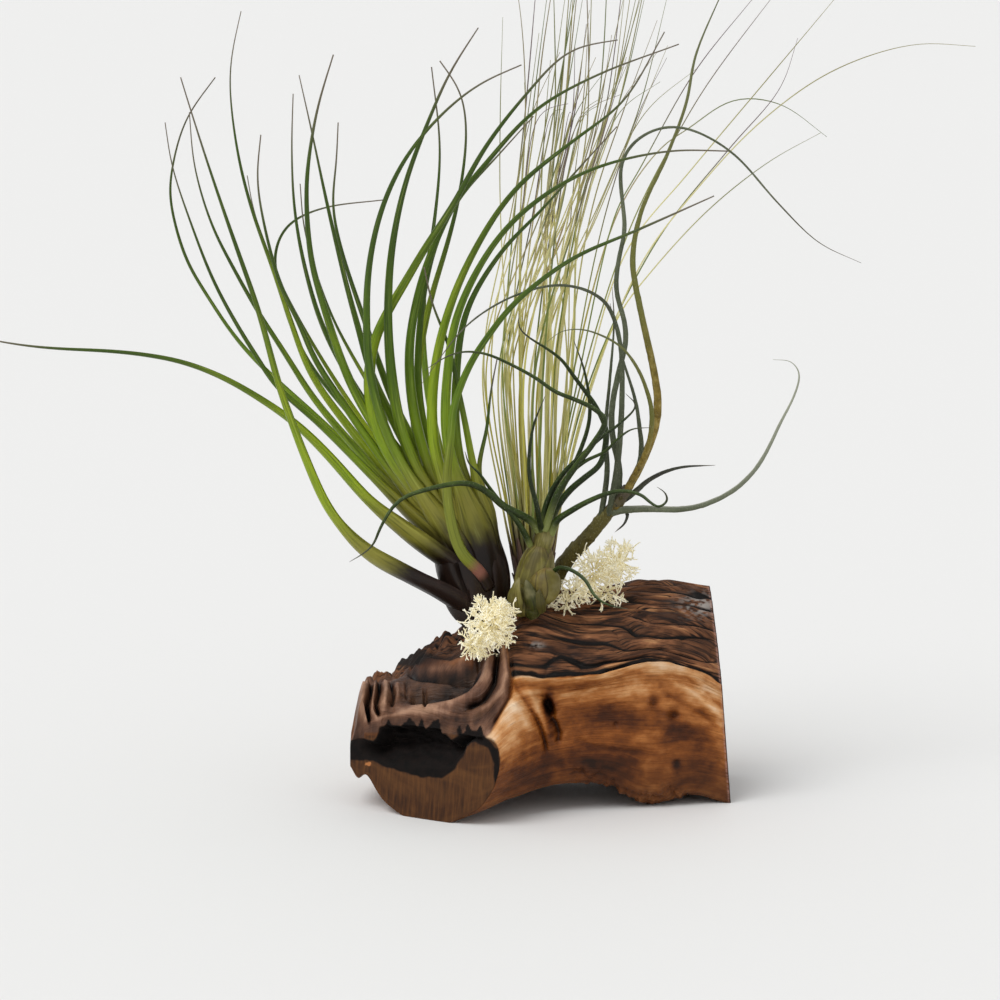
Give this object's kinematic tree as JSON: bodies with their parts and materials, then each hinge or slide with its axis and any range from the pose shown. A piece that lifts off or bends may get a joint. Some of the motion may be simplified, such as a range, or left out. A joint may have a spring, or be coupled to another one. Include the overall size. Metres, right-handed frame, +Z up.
{
  "type": "air plant arrangement on driftwood",
  "caption": "Air plants with channelled, rush-like, rolled and twisting leaves, and tufts of pale moss, fastened to a piece of driftwood that stands on low flat feet.",
  "frame": {"origin": "on the ground, under the middle of the whole arrangement's box", "axes": "+X to the right of the front view, +Y away from the viewer, +Z up"},
  "size_m": [0.5029, 0.194, 0.4425],
  "materials": {
    "driftwood": "bare orange-brown root wood with dark furrowed bark and a grey-brown weathered end, matt",
    "rosette_leaf": "smooth satin green leaf with grey-brown tips and a dark purple-brown sheath at its root",
    "rush_blade": "dry straw-green blade, purple-brown at its root, matt",
    "bulb_leaf": "bluish green rolled leaf on a grey-green sheathed bulb, satin",
    "scurfy_leaf": "grey-green to ochre leaf with a scurf of fine pale scales, matt",
    "moss": "cream branched lichen, matt"
  },
  "bodies": {
    "root": {"driftwood": "driftwood", "rosette_plant": "rosette_leaf", "rush_plant": "rush_blade", "bulb_plant": "bulb_leaf", "scurfy_plant": "scurfy_leaf", "moss_front": "moss", "moss_back": "moss"}
  },
  "joints": []
}
